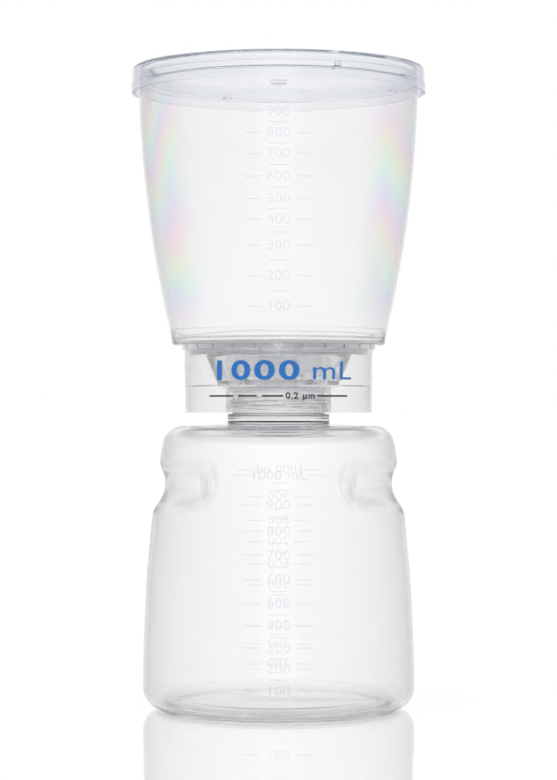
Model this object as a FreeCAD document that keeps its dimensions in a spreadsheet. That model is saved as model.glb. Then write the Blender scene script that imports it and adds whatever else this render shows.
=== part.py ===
"""Disposable 1000 mL vacuum filtration unit: a parametric FreeCAD document.

The origin is the centre of the foot ring, +Z is up, the printed front faces -Y,
the two finger grips lie on +X and -X, and the vacuum barb points to +Y.
"""
import FreeCAD, Part
import Sketcher
import math
import os

Vector = FreeCAD.Vector
doc = FreeCAD.newDocument("filtration_unit")
sheet = doc.addObject("Spreadsheet::Sheet", "sizes")


class Length:
    """A length: its value now, and the sheet expression that gives it."""

    def __init__(self, value, text):
        self.value = float(value)
        self.text = text

    def __add__(self, other):
        other = as_length(other)
        return Length(self.value + other.value, f"({self.text} + {other.text})")

    def __sub__(self, other):
        other = as_length(other)
        return Length(self.value - other.value, f"({self.text} - {other.text})")

    def __mul__(self, other):
        other = as_length(other)
        return Length(self.value * other.value, f"({self.text} * {other.text})")

    def __truediv__(self, other):
        other = as_length(other)
        return Length(self.value / other.value, f"({self.text} / {other.text})")

    def __neg__(self):
        return Length(-self.value, f"(-{self.text})")


def as_length(thing):
    return thing if isinstance(thing, Length) else Length(thing, repr(float(thing)))


def root(length):
    return Length(math.sqrt(length.value), f"sqrt({length.text})")


def sine(angle):
    return Length(math.sin(math.radians(angle.value)), f"sin({angle.text} * 1 deg)")


def cosine(angle):
    return Length(math.cos(math.radians(angle.value)), f"cos({angle.text} * 1 deg)")


def size(alias, value):
    """Writes one driving dimension to the sheet and returns it."""
    row = size.rows = getattr(size, "rows", 0) + 1
    sheet.set(f"A{row}", alias)
    sheet.set(f"B{row}", str(value))
    sheet.setAlias(f"B{row}", alias)
    return Length(value, f"sizes.{alias}")


# Receiver bottle
bottle_radius = size("bottle_radius", 60.3)          # at the top of the heel
bottle_wall = size("bottle_wall", 1.8)
heel_radius = size("heel_radius", 9.0)
wall_curve_radius = size("wall_curve_radius", 675.0)  # the side leans in on this long arc
shoulder_radius = size("shoulder_radius", 9.3)
shoulder_height = size("shoulder_height", 125.0)     # top of the shoulder's round
dome_slope = size("dome_slope", 4.0)                 # degrees, from the shoulder up to the neck
foot_width = size("foot_width", 4.0)                 # flat ring that the bottle stands on
push_up_rise = size("push_up_rise", 3.2)             # step inside the foot ring
push_up_run = size("push_up_run", 4.3)
push_up_dome = size("push_up_dome", 1.8)             # further rise at the centre
grip_drop = size("grip_drop", 25.5)                  # from the shoulder's top to the middle of the grips
grip_round = size("grip_round", 16.0)                # radius of the scoop's section
grip_depth = size("grip_depth", 10.2)                # of the scoop, below the bottle's radius
grip_span = size("grip_span", 98.0)                  # degrees between the centres of its round ends

# Bottle neck, a 45 mm screw finish
neck_radius = size("neck_radius", 20.6)
neck_wall = size("neck_wall", 2.1)
neck_height = size("neck_height", 15.4)              # above the shoulder's top
neck_bead_reach = size("neck_bead_reach", 1.6)       # beyond the neck
neck_bead_drop = size("neck_bead_drop", 14.1)        # from the neck's top to the bead's foot
neck_bead_lobe = size("neck_bead_lobe", 1.9)         # height of each of the bead's two lobes
neck_bead_flatness = size("neck_bead_flatness", 0.2)  # 0 gives half-round lobes
thread_pitch = size("thread_pitch", 4.0)
thread_turns = size("thread_turns", 1.2)
thread_depth = size("thread_depth", 1.3)
thread_crest = size("thread_crest", 0.9)
thread_flank = size("thread_flank", 0.5)             # each flank's width along the axis
thread_start = size("thread_start", 1.2)             # from the collar's foot to its thread's low end
thread_gap = size("thread_gap", 0.4)                 # radial clearance over the thread

# Neck gasket
gasket_thickness = size("gasket_thickness", 1.0)
gasket_inset = size("gasket_inset", 0.2)             # clearance to the bore and the collar

# Neck adapter
adapter_foot_gap = size("adapter_foot_gap", 0.7)     # from the neck bead up to the collar
collar_wall = size("collar_wall", 1.2)
ledge_overlap = size("ledge_overlap", 0.2)           # how far the ledge reaches past the neck's bore
web_thickness = size("web_thickness", 1.4)
web_rise = size("web_rise", 1.2)                     # the web climbs towards the skirt
skirt_radius = size("skirt_radius", 41.4)            # at its lower edge
skirt_draft = size("skirt_draft", 0.4)               # extra radius at its upper edge
skirt_wall = size("skirt_wall", 1.7)
skirt_height = size("skirt_height", 27.8)
cone_gap = size("cone_gap", 3.2)                     # from the tube to the cone's outer foot
cone_flare = size("cone_flare", 5.7)                 # extra radius at the cone's top
cone_wall = size("cone_wall", 3.0)                    # measured level
cone_root = size("cone_root", 3.2)                    # solid foot between the cone and the tube
vent_radius = size("vent_radius", 1.25)
vent_turn = size("vent_turn", 30.0)                  # degrees from the front and the back
vent_lift = size("vent_lift", 1.5)                   # above the web

# Vacuum barb
barb_lift = size("barb_lift", 7.2)                   # axis above the web
barb_bore = size("barb_bore", 2.4)
barb_root = size("barb_root", 4.0)
barb_crest = size("barb_crest", 5.0)
barb_neck = size("barb_neck", 8.0)                   # plain length next to the skirt
barb_tooth = size("barb_tooth", 4.0)
barb_count = size("barb_count", 3)                   # teeth
plug_length = size("plug_length", 9.0)
plug_inset = size("plug_inset", 0.05)
plug_depth = size("plug_depth", 1.5)                 # below the mouth of the barb

# Support plate
plate_spigot = size("plate_spigot", 2.4)             # depth of the plate inside the skirt
spigot_gap = size("spigot_gap", 0.3)
spigot_round = size("spigot_round", 1.6)
flange_reach = size("flange_reach", 1.1)             # beyond the skirt
flange_thickness = size("flange_thickness", 2.0)
plate_rim_height = size("plate_rim_height", 1.6)     # above the flange
plate_rim_width = size("plate_rim_width", 7.1)
plate_floor = size("plate_floor", 2.0)
plate_fall = size("plate_fall", 0.6)                 # slope of the floor towards the drain
rib_count = size("rib_count", 24)
rib_thickness = size("rib_thickness", 1.0)
rib_inner_radius = size("rib_inner_radius", 9.5)
drain_radius = size("drain_radius", 7.0)
drain_wall = size("drain_wall", 1.5)
drain_reach = size("drain_reach", 15.2)              # below the plate's underside
splash_gap = size("splash_gap", 2.7)                 # from the ring to the adapter's tube
splash_wall = size("splash_wall", 1.4)
splash_depth = size("splash_depth", 9.7)

# Membrane
membrane_radius = size("membrane_radius", 45.0)
membrane_thickness = size("membrane_thickness", 0.15)

# Funnel
funnel_foot_wall = size("funnel_foot_wall", 1.6)     # round the support plate
funnel_foot_round = size("funnel_foot_round", 1.2)
funnel_ring_flare = size("funnel_ring_flare", 0.9)   # extra radius at the ring's top
funnel_ring_height = size("funnel_ring_height", 6.8)
funnel_ring_step = size("funnel_ring_step", 0.3)
socket_gap = size("socket_gap", 0.3)                 # round the support plate
funnel_wall = size("funnel_wall", 1.7)
funnel_spread = size("funnel_spread", 13.5)          # from the ring's step out to the rim
funnel_height = size("funnel_height", 119.6)         # from its foot to its rim
funnel_belly_radius = size("funnel_belly_radius", 520.0)
funnel_collar_height = size("funnel_collar_height", 11.8)  # straight part under the rim
funnel_clamp = size("funnel_clamp", 1.4)             # overlap of the funnel's ledge on the membrane

# Lid
lid_clearance = size("lid_clearance", 1.6)           # round the funnel's rim
lid_wall = size("lid_wall", 1.5)
lid_rise = size("lid_rise", 3.9)                     # top of the lid above the funnel's rim
lid_roof = size("lid_roof", 1.6)
lid_round = size("lid_round", 1.8)
lid_skirt_depth = size("lid_skirt_depth", 7.5)       # below the funnel's rim
lid_lip = size("lid_lip", 0.4)                       # outward flare of the lower edge
lid_lip_height = size("lid_lip_height", 3.6)
seat_gap = size("seat_gap", 0.2)                     # between the lid's well and the funnel's rim
well_lean = size("well_lean", 33.7)                  # degrees, the well's wall from upright
well_wall = size("well_wall", 1.8)                   # measured level
well_round = size("well_round", 1.0)                 # chamfer at the well's upper edge
panel_depth = size("panel_depth", 5.7)               # the panel lies below the lid's top
panel_thickness = size("panel_thickness", 1.4)
nub_radius = size("nub_radius", 4.0)
nub_height = size("nub_height", 1.5)
spacer_count = size("spacer_count", 4)
spacer_width = size("spacer_width", 2.7)
spacer_drop = size("spacer_drop", 0.5)               # below the panel
spacer_gap = size("spacer_gap", 0.3)                 # from each spacer rib to the funnel
spacer_turn = size("spacer_turn", 24.6)              # degrees from the front

doc.recompute()

# Levels and radii that several pieces share
grip_height = shoulder_height - grip_drop
grip_floor = bottle_radius - grip_depth
neck_top = shoulder_height + neck_height
neck_bore = neck_radius - neck_wall
neck_bead_radius = neck_radius + neck_bead_reach
neck_bead_foot = neck_top - neck_bead_drop
neck_bead_top = neck_bead_foot + neck_bead_lobe * 2
neck_bead_round = neck_bead_lobe / 2 + neck_bead_flatness
thread_radius = neck_radius + thread_depth
collar_bore = thread_radius + thread_gap
tube_radius = collar_bore + collar_wall
ledge_level = neck_top + gasket_thickness
web_level = ledge_level + web_thickness
adapter_foot = neck_bead_top + adapter_foot_gap
collar_thread_low = adapter_foot + thread_start
thread_low = collar_thread_low + thread_pitch / 2
skirt_top = adapter_foot + skirt_height
skirt_top_radius = skirt_radius + skirt_draft
skirt_bore = skirt_top_radius - skirt_wall
cone_foot_radius = tube_radius + cone_gap
cone_top_radius = cone_foot_radius + cone_flare
plate_under = skirt_top - plate_spigot
plate_seat = skirt_top + flange_thickness
plate_top = plate_seat + plate_rim_height
plate_radius = membrane_radius + socket_gap
flange_radius = skirt_top_radius + flange_reach
splash_radius = collar_bore - splash_gap
membrane_top = plate_top + membrane_thickness
funnel_foot = plate_seat
funnel_rim = funnel_foot + funnel_height
funnel_socket = plate_radius + socket_gap
funnel_foot_radius = funnel_socket + funnel_foot_wall
funnel_ring_radius = funnel_foot_radius + funnel_ring_flare
funnel_belly_foot = funnel_ring_radius + funnel_ring_step
funnel_rim_radius = funnel_belly_foot + funnel_spread
funnel_rim_bore = funnel_rim_radius - funnel_wall
lid_radius = funnel_rim_radius + lid_clearance + lid_wall
lid_top = funnel_rim + lid_rise
panel_level = lid_top - panel_depth
barb_height = web_level + barb_lift
barb_start = skirt_top_radius + barb_neck
barb_tip = barb_start + barb_tooth * barb_count


def bind(thing, **expressions):
    """Ties properties to the sheet."""
    for name, length in expressions.items():
        thing.setExpression(name.replace("__", "."), as_length(length).text)


def body(name):
    return doc.addObject("PartDesign::Body", name)


def sketch_on(owner, name, role):
    """A new sketch on one of the body's own origin planes."""
    sketch = owner.newObject("Sketcher::SketchObject", name)
    plane = next(f for f in owner.Origin.OriginFeatures if f.Role == role)
    sketch.AttachmentSupport = [(plane, "")]
    sketch.MapMode = "FlatFace"
    return sketch


def fix_point(sketch, edge, end, point):
    """Fixes one end of an edge at a point given by two lengths."""
    for kind, length in (("DistanceX", point[0]), ("DistanceY", point[1])):
        number = sketch.addConstraint(Sketcher.Constraint(kind, -1, 1, edge, end, length.value))
        sketch.setExpression(f"Constraints[{number}]", length.text)


def arc_between(start, end, radius, turn):
    """The minor arc from start to end; turn is 1 to the left and -1 to the right."""
    a = Vector(start[0].value, start[1].value, 0)
    b = Vector(end[0].value, end[1].value, 0)
    chord = b - a
    rise = math.sqrt(max(radius.value ** 2 - (chord.Length / 2) ** 2, 0))
    centre = (a + b) / 2 + Vector(-chord.y, chord.x, 0).normalize() * rise * turn
    first, last = (a, b) if turn > 0 else (b, a)
    angles = [math.atan2(p.y - centre.y, p.x - centre.x) for p in (first, last)]
    circle = Part.Circle(centre, Vector(0, 0, 1), radius.value)
    return Part.ArcOfCircle(circle, angles[0], angles[1])


def outline(sketch, start, *steps):
    """A closed outline. A step is a point, or a point with an arc's radius and turn."""
    start = tuple(as_length(x) for x in start)
    here = start
    for step in steps + (start,):
        point = tuple(as_length(x) for x in step[:2])
        if len(step) == 4:
            radius = as_length(step[2])
            edge = sketch.addGeometry(arc_between(here, point, radius, step[3]))
            number = sketch.addConstraint(Sketcher.Constraint("Radius", edge, radius.value))
            sketch.setExpression(f"Constraints[{number}]", radius.text)
            ends = (1, 2) if step[3] > 0 else (2, 1)
        else:
            corners = [Vector(p[0].value, p[1].value, 0) for p in (here, point)]
            edge = sketch.addGeometry(Part.LineSegment(corners[0], corners[1]))
            ends = (1, 2)
        fix_point(sketch, edge, ends[0], here)
        fix_point(sketch, edge, ends[1], point)
        here = point


def revolve(owner, name, start, *steps):
    """Turns an outline of radii and heights round the vertical axis."""
    sketch = sketch_on(owner, name + "_outline", "XZ_Plane")
    outline(sketch, start, *steps)
    feature = owner.newObject("PartDesign::Revolution", name)
    feature.Profile = sketch
    feature.ReferenceAxis = (sketch, ["V_Axis"])
    feature.Angle = 360
    return feature


def thread(owner, name, base, crest, low):
    """A raised thread with a trapezoid section from base to crest radius."""
    root_half = thread_crest / 2 + thread_flank
    crest_half = thread_crest / 2
    sketch = sketch_on(owner, name + "_section", "XZ_Plane")
    outline(
        sketch,
        (base, low - root_half),
        (crest, low - crest_half),
        (crest, low + crest_half),
        (base, low + root_half),
    )
    helix = owner.newObject("PartDesign::AdditiveHelix", name)
    helix.Profile = sketch
    helix.ReferenceAxis = (sketch, ["V_Axis"])
    helix.Mode = "pitch-turns-angle"
    bind(helix, Pitch=thread_pitch, Turns=thread_turns)
    return helix


def repeat(owner, name, feature, count):
    """Repeats a feature round the vertical axis."""
    pattern = owner.newObject("PartDesign::PolarPattern", name)
    pattern.Originals = [feature]
    pattern.Axis = (next(f for f in owner.Origin.OriginFeatures if f.Role == "Z_Axis"), [""])
    pattern.Angle = 360
    bind(pattern, Occurrences=count)
    owner.Tip = pattern
    return pattern


def bottle_form(name, inwards, foot, mouth_radius, mouth_level):
    """The bottle's outer form, or with a wall's offset its hollow, as a solid."""
    heel = heel_radius - inwards
    side = wall_curve_radius - inwards
    shoulder = shoulder_radius - inwards
    heel_centre = bottle_radius - heel_radius
    side_centre = bottle_radius - wall_curve_radius
    span = wall_curve_radius - shoulder_radius
    shoulder_level = shoulder_height - shoulder_radius
    climb = shoulder_level - heel_radius
    reach = root(span * span - climb * climb)
    shoulder_centre = side_centre + reach
    ring_inner = heel_centre - foot_width
    step_radius = ring_inner - push_up_run
    dome_start = (
        shoulder_centre + shoulder * sine(dome_slope),
        shoulder_level + shoulder * cosine(dome_slope),
    )
    fall = sine(dome_slope) / cosine(dome_slope)
    form = body(name)
    revolve(
        form, name + "_form",
        (0, foot + push_up_rise + push_up_dome),
        (step_radius, foot + push_up_rise),
        (ring_inner, foot),
        (heel_centre, foot),
        (bottle_radius - inwards, heel_radius, heel, 1),
        (shoulder_centre + shoulder * reach / span, shoulder_level + shoulder * climb / span, side, 1),
        (dome_start[0], dome_start[1], shoulder, 1),
        (mouth_radius, dome_start[1] + (dome_start[0] - mouth_radius) * fall),
        (mouth_radius, mouth_level),
        (0, mouth_level),
    )
    return form


def scoops(name, round_radius):
    """Two scooped grips: each is a bent bar with round ends, one on +X and one on -X."""
    reach = grip_floor + grip_round
    tools = []
    for side, middle in (("right", 0), ("left", 180)):
        bar = doc.addObject("Part::Torus", f"{name}_{side}")
        bind(bar, Radius1=reach, Radius2=round_radius, Angle3=grip_span, Placement__Base__z=grip_height)
        bind(bar, Placement__Rotation__Angle=Length(middle, repr(middle)) - grip_span / 2)
        bar.Placement.Rotation.Axis = Vector(0, 0, 1)
        tools.append(bar)
        for end, turn in (("front", -1), ("back", 1)):
            ball = doc.addObject("Part::Sphere", f"{name}_{side}_{end}")
            away = reach * (1 if middle == 0 else -1)
            bind(ball, Radius=round_radius, Placement__Base__z=grip_height)
            bind(ball, Placement__Base__x=away * cosine(grip_span / 2))
            bind(ball, Placement__Base__y=away * sine(grip_span / 2) * turn)
            tools.append(ball)
    fused = doc.addObject("Part::MultiFuse", name)
    fused.Shapes = tools
    return fused


def cut(name, base, tool):
    result = doc.addObject("Part::Cut", name)
    result.Base = base
    result.Tool = tool
    return result


def receiver_bottle():
    outside = bottle_form("bottle_outside", as_length(0), as_length(0), neck_radius, neck_top)
    lobe = neck_bead_lobe
    revolve(
        outside, "neck_bead",
        (neck_bore, neck_bead_foot),
        (neck_bead_radius, neck_bead_foot),
        (neck_bead_radius, neck_bead_foot + lobe, neck_bead_round, 1),
        (neck_bead_radius, neck_bead_top, neck_bead_round, 1),
        (neck_bore, neck_bead_top),
    )
    thread(outside, "neck_thread", neck_radius - thread_gap, thread_radius, thread_low)
    inside = bottle_form("bottle_inside", bottle_wall, bottle_wall, neck_bore, neck_top + bottle_wall)
    hollow = cut("bottle_hollow", inside, scoops("inner_grips", grip_round + bottle_wall))
    shell = cut("bottle_shell", outside, scoops("outer_grips", grip_round))
    return cut("receiver_bottle", shell, hollow)


def turned(sketch, degrees):
    """Turns a sketch's plane round the vertical axis."""
    sketch.AttachmentOffset = FreeCAD.Placement(Vector(), FreeCAD.Rotation(Vector(0, 1, 0), degrees.value))
    bind(sketch, AttachmentOffset__Rotation__Angle=degrees)


def neck_gasket():
    gasket = body("neck_gasket")
    inner = neck_bore + gasket_inset
    outer = collar_bore - gasket_inset
    revolve(
        gasket, "gasket_ring",
        (inner, neck_top),
        (outer, neck_top),
        (outer, ledge_level),
        (inner, ledge_level),
    )
    return gasket


def neck_adapter():
    adapter = body("neck_adapter")
    skirt_foot_bore = skirt_radius - skirt_wall
    ledge_radius = neck_bore - ledge_overlap
    revolve(
        adapter, "adapter_shell",
        (collar_bore, adapter_foot),
        (tube_radius, adapter_foot),
        (tube_radius, ledge_level),
        (skirt_foot_bore, ledge_level + web_rise),
        (skirt_foot_bore, adapter_foot),
        (skirt_radius, adapter_foot),
        (skirt_top_radius, skirt_top),
        (skirt_bore, skirt_top),
        (skirt_bore, web_level + web_rise),
        (cone_foot_radius, web_level),
        (cone_top_radius, plate_under),
        (cone_top_radius - cone_wall, plate_under),
        (tube_radius, web_level + cone_root),
        (tube_radius, plate_under),
        (collar_bore, plate_under),
        (collar_bore, web_level),
        (ledge_radius, web_level),
        (ledge_radius, ledge_level),
        (collar_bore, ledge_level),
    )
    thread(adapter, "collar_thread", collar_bore + thread_gap, neck_radius + thread_gap, collar_thread_low)
    for name, turn in (("vent_right", vent_turn), ("vent_left", -vent_turn)):
        round_hole = sketch_on(adapter, name + "_section", "XZ_Plane")
        turned(round_hole, turn)
        circle = Part.Circle(Vector(0, 0, 0), Vector(0, 0, 1), vent_radius.value)
        edge = round_hole.addGeometry(circle)
        fix_point(round_hole, edge, 3, (as_length(0), web_level + vent_lift))
        number = round_hole.addConstraint(Sketcher.Constraint("Radius", edge, vent_radius.value))
        round_hole.setExpression(f"Constraints[{number}]", vent_radius.text)
        vent = adapter.newObject("PartDesign::Pocket", name)
        vent.Profile = round_hole
        vent.SideType = "Symmetric"
        bind(vent, Length=(cone_foot_radius + cone_wall) * 2)
    barb(adapter)
    return adapter


def barb(owner):
    """The hose barb and its bore, turned round its own level axis."""
    start = skirt_bore - spigot_gap
    outer = barb_sketch(owner, "barb_outline")
    outline(
        outer, (start, 0), (barb_tip, 0), (barb_tip, barb_root),
        *[corner for tooth in reversed(range(int(barb_count.value))) for corner in barb_corners(tooth)],
        (start, barb_root),
    )
    turn_level(owner, "Revolution", "barb", outer)
    bore = barb_sketch(owner, "barb_bore_outline")
    outline(bore, (start - barb_root, 0), (barb_tip + barb_root, 0),
            (barb_tip + barb_root, barb_bore), (start - barb_root, barb_bore))
    turn_level(owner, "Groove", "barb_bore", bore)


def barb_corners(tooth):
    """One tooth, from its thin end at the tip's side to the step at the skirt's side."""
    foot = barb_start + barb_tooth * tooth
    return [(foot, barb_crest), (foot, barb_root)]


def barb_sketch(owner, name):
    sketch = sketch_on(owner, name, "YZ_Plane")
    bind(sketch, AttachmentOffset__Base__y=barb_height)
    return sketch


def turn_level(owner, kind, name, sketch):
    feature = owner.newObject("PartDesign::" + kind, name)
    feature.Profile = sketch
    feature.ReferenceAxis = (sketch, ["H_Axis"])
    feature.Angle = 360
    return feature


def vacuum_plug():
    plug = doc.addObject("Part::Cylinder", "vacuum_plug")
    plug.Placement = FreeCAD.Placement(Vector(), FreeCAD.Rotation(Vector(1, 0, 0), -90))
    bind(
        plug, Radius=barb_bore - plug_inset, Height=plug_length,
        Placement__Base__y=barb_tip - plug_depth - plug_length, Placement__Base__z=barb_height,
    )
    return plug


def support_plate():
    plate = body("support_plate")
    spigot = skirt_bore - spigot_gap
    splash_bore = splash_radius - splash_wall
    splash_foot = plate_under - splash_depth
    drain_foot = plate_under - drain_reach
    floor = plate_under + plate_floor
    rim_bore = plate_radius - plate_rim_width
    revolve(
        plate, "plate_shell",
        (drain_radius, drain_foot),
        (drain_radius + drain_wall, drain_foot),
        (drain_radius + drain_wall, plate_under),
        (splash_bore, plate_under),
        (splash_bore, splash_foot),
        (splash_radius, splash_foot),
        (splash_radius, plate_under),
        (spigot - spigot_round, plate_under),
        (spigot, plate_under + spigot_round, spigot_round, 1),
        (spigot, skirt_top),
        (flange_radius, skirt_top),
        (flange_radius, plate_seat),
        (plate_radius, plate_seat),
        (plate_radius, plate_top),
        (rim_bore, plate_top),
        (rim_bore, floor + plate_fall),
        (drain_radius, floor),
    )
    section = sketch_on(plate, "rib_outline", "XZ_Plane")
    rib_foot = plate_under + plate_floor / 2
    rib_end = rim_bore + rib_thickness / 2
    outline(
        section,
        (rib_inner_radius, rib_foot),
        (rib_end, rib_foot),
        (rib_end, plate_top),
        (rib_inner_radius, plate_top),
    )
    rib = plate.newObject("PartDesign::Pad", "rib")
    rib.Profile = section
    rib.SideType = "Symmetric"
    bind(rib, Length=rib_thickness)
    repeat(plate, "ribs", rib, rib_count)
    return plate


def membrane():
    disc = doc.addObject("Part::Cylinder", "membrane")
    bind(disc, Radius=membrane_radius, Height=membrane_thickness, Placement__Base__z=plate_top)
    return disc


def funnel():
    vessel = body("funnel")
    ring_top = funnel_foot + funnel_ring_height
    belly_top = funnel_rim - funnel_collar_height
    clamp = membrane_radius - funnel_clamp
    revolve(
        vessel, "funnel_shell",
        (funnel_socket, funnel_foot),
        (funnel_foot_radius - funnel_foot_round, funnel_foot),
        (funnel_foot_radius, funnel_foot + funnel_foot_round, funnel_foot_round, 1),
        (funnel_ring_radius, ring_top),
        (funnel_belly_foot, ring_top),
        (funnel_rim_radius, belly_top, funnel_belly_radius, 1),
        (funnel_rim_radius, funnel_rim),
        (funnel_rim_bore, funnel_rim),
        (funnel_rim_bore, belly_top),
        (funnel_belly_foot - funnel_wall, ring_top, funnel_belly_radius - funnel_wall, -1),
        (clamp, membrane_top + funnel_foot_round),
        (clamp, membrane_top),
        (funnel_socket, membrane_top),
    )
    return vessel


def lid():
    cover = body("lid")
    lean = sine(well_lean) / cosine(well_lean)
    seat = funnel_rim_bore - seat_gap

    def well(level):
        """Outer radius of the well's leaning wall at a height."""
        return seat + (level - funnel_rim) * lean

    foot = funnel_rim - lid_skirt_depth
    roof = lid_top - lid_roof
    panel_under = panel_level - panel_thickness
    well_top = lid_top - well_round
    revolve(
        cover, "lid_shell",
        (0, panel_under),
        (well(panel_under), panel_under),
        (well(roof), roof),
        (lid_radius - lid_wall, roof),
        (lid_radius - lid_wall, foot),
        (lid_radius + lid_lip, foot),
        (lid_radius + lid_lip, foot + lid_lip_height),
        (lid_radius, foot + lid_lip_height + lid_lip),
        (lid_radius, lid_top - lid_round),
        (lid_radius - lid_round, lid_top, lid_round, 1),
        (well(lid_top) - well_wall + well_round, lid_top),
        (well(well_top) - well_wall, well_top),
        (well(panel_level) - well_wall, panel_level),
        (nub_radius, panel_level),
        (nub_radius, panel_level + nub_height),
        (0, panel_level + nub_height),
    )
    section = sketch_on(cover, "spacer_outline", "XZ_Plane")
    turned(section, spacer_turn - 90)
    spacer_radius = funnel_rim_bore - spacer_gap
    spacer_foot = panel_under - spacer_drop
    inside = well(panel_under) - well_wall
    outline(
        section,
        (inside, spacer_foot),
        (spacer_radius, spacer_foot),
        (spacer_radius, funnel_rim - spacer_gap),
        (spacer_radius - well_wall / 2, funnel_rim - spacer_gap),
        (inside, panel_under + spacer_drop),
    )
    spacer = cover.newObject("PartDesign::Pad", "spacer")
    spacer.Profile = section
    spacer.SideType = "Symmetric"
    bind(spacer, Length=spacer_width)
    repeat(cover, "spacers", spacer, spacer_count)
    return cover


pieces = [
    receiver_bottle(),
    neck_gasket(),
    neck_adapter(),
    vacuum_plug(),
    support_plate(),
    membrane(),
    funnel(),
    lid(),
]
doc.recompute()

for thing in doc.Objects:
    if "Invalid" in thing.State or "Error" in thing.State:
        raise RuntimeError(f"{thing.Label} failed: {thing.State}")
for piece in pieces:
    shape = piece.Shape
    if shape.isNull() or not shape.isValid() or len(shape.Solids) != 1:
        raise RuntimeError(f"{piece.Label} is not one valid solid")
    box = shape.optimalBoundingBox(False)
    print(f"{piece.Label}: {shape.Volume / 1000:.2f} cm3, z {box.ZMin:.2f} to {box.ZMax:.2f}, "
          f"x {box.XMin:.2f} to {box.XMax:.2f}, y {box.YMin:.2f} to {box.YMax:.2f}")

os.makedirs("parts", exist_ok=True)
for piece in pieces:
    piece.Shape.exportStep(f"parts/{piece.Label}.step")
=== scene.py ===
# A 1000 mL vacuum filtration unit in clear plastic: lid, funnel, filter base and receiver bottle.
# Lengths in the dictionaries are millimetres; the finished meshes are in metres.
import math

import bpy
import numpy as np
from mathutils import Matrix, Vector


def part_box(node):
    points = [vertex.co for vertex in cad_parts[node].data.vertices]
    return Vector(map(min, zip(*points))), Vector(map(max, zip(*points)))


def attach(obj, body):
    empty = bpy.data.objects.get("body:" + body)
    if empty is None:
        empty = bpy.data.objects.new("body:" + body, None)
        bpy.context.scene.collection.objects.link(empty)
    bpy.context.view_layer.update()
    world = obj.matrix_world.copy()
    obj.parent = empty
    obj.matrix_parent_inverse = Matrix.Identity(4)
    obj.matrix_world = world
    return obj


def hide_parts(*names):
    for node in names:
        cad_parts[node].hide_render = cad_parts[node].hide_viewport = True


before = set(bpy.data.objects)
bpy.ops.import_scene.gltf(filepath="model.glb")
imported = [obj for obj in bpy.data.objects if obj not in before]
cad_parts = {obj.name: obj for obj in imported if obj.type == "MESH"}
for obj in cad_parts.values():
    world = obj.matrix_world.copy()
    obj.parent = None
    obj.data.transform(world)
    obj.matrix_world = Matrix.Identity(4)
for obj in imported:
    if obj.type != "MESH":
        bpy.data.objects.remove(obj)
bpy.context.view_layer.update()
mm = 0.001
twoPi = 2 * math.pi
print("frame loaded:", ", ".join(sorted(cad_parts)))


def reach(node):
    # the radius, foot and top of a round CAD node, in millimetres to a thousandth
    low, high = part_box(node)
    return [round(value / mm, 3) for value in (high.x, low.z, high.z)]


bottleRadius, _, bottleTop = reach("receiver_bottle")
skirtRadius, skirtFoot, skirtTop = reach("neck_adapter")
funnelRadius, funnelFoot, funnelTop = reach("funnel")
membraneTop, lidTop = reach("membrane")[2], reach("lid")[2]
hair = 0.03  # millimetres that keep clear faces from coinciding


class Socket:
    # wraps a value socket, so that shader maths reads as ordinary Python
    def __init__(self, shader, link):
        self.shader = shader
        self.link = link

    def math(self, operation, *others):
        values = dict(enumerate((self, *others)))
        return self.shader.node("ShaderNodeMath", {"operation": operation}, values)

    def reflected(self, operation, first):
        return self.shader.node("ShaderNodeMath", {"operation": operation}, {0: first, 1: self})

    def __add__(self, other):
        return self.math("ADD", other)

    def __sub__(self, other):
        return self.math("SUBTRACT", other)

    def __mul__(self, other):
        return self.math("MULTIPLY", other)

    def __truediv__(self, other):
        return self.math("DIVIDE", other)

    def __radd__(self, first):
        return self.reflected("ADD", first)

    def __rsub__(self, first):
        return self.reflected("SUBTRACT", first)

    def __rmul__(self, first):
        return self.reflected("MULTIPLY", first)

    def __rtruediv__(self, first):
        return self.reflected("DIVIDE", first)

    def __pow__(self, other):
        return self.math("POWER", other)

    def __abs__(self):
        return self.math("ABSOLUTE")


class Shader:
    # one node tree; node() makes any node from its type, settings and inputs
    def __init__(self, tree):
        self.tree = tree
        tree.nodes.clear()

    def node(self, kind, settings=None, inputs=None, output=0):
        made = self.tree.nodes.new(kind)
        for key, value in (settings or {}).items():
            setattr(made, key, value)
        for key, value in (inputs or {}).items():
            if isinstance(value, Socket):
                self.tree.links.new(value.link, made.inputs[key])
            else:
                made.inputs[key].default_value = value
        return Socket(self, made.outputs[output]) if made.outputs else None

    def other(self, socket, output):
        # another output of the node that a socket belongs to
        return Socket(self, socket.link.node.outputs[output])

    def place(self):
        # object coordinates in metres as three sockets
        spot = self.node("ShaderNodeTexCoord", output="Object")
        parts = self.node("ShaderNodeSeparateXYZ", inputs={0: spot})
        return spot, parts, self.other(parts, 1), self.other(parts, 2)

    def noise(self, spot, scale, detail=2.0, stretch=(1, 1, 1)):
        moved = self.node("ShaderNodeMapping", inputs={"Vector": spot, "Scale": stretch})
        return self.node("ShaderNodeTexNoise", inputs={
            "Vector": moved, "Scale": scale, "Detail": detail})

    def step(self, value, low, high):
        # 0 below low, 1 above high, smooth between
        return self.node("ShaderNodeMapRange", {"interpolation_type": "SMOOTHSTEP"},
                         {"Value": value, "From Min": low, "From Max": high})

    def mixColour(self, factor, *colours):
        # sockets 0, 6 and 7 of a Mix node are its factor and its two colours, socket 2 is the mix
        first, second = (c if isinstance(c, Socket) else (*c, 1) for c in colours)
        return self.node("ShaderNodeMix", {"data_type": "RGBA"}, {0: factor, 6: first, 7: second}, 2)

    def bump(self, height, strength, distance):
        return self.node("ShaderNodeBump", inputs={
            "Height": height, "Strength": strength, "Distance": distance})

    def finish(self, inputs, **more):
        # the Principled shader with these inputs, and the material's output behind it
        surface = self.node("ShaderNodeBsdfPrincipled", inputs=inputs)
        self.node("ShaderNodeOutputMaterial", inputs={"Surface": surface, **more})


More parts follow.
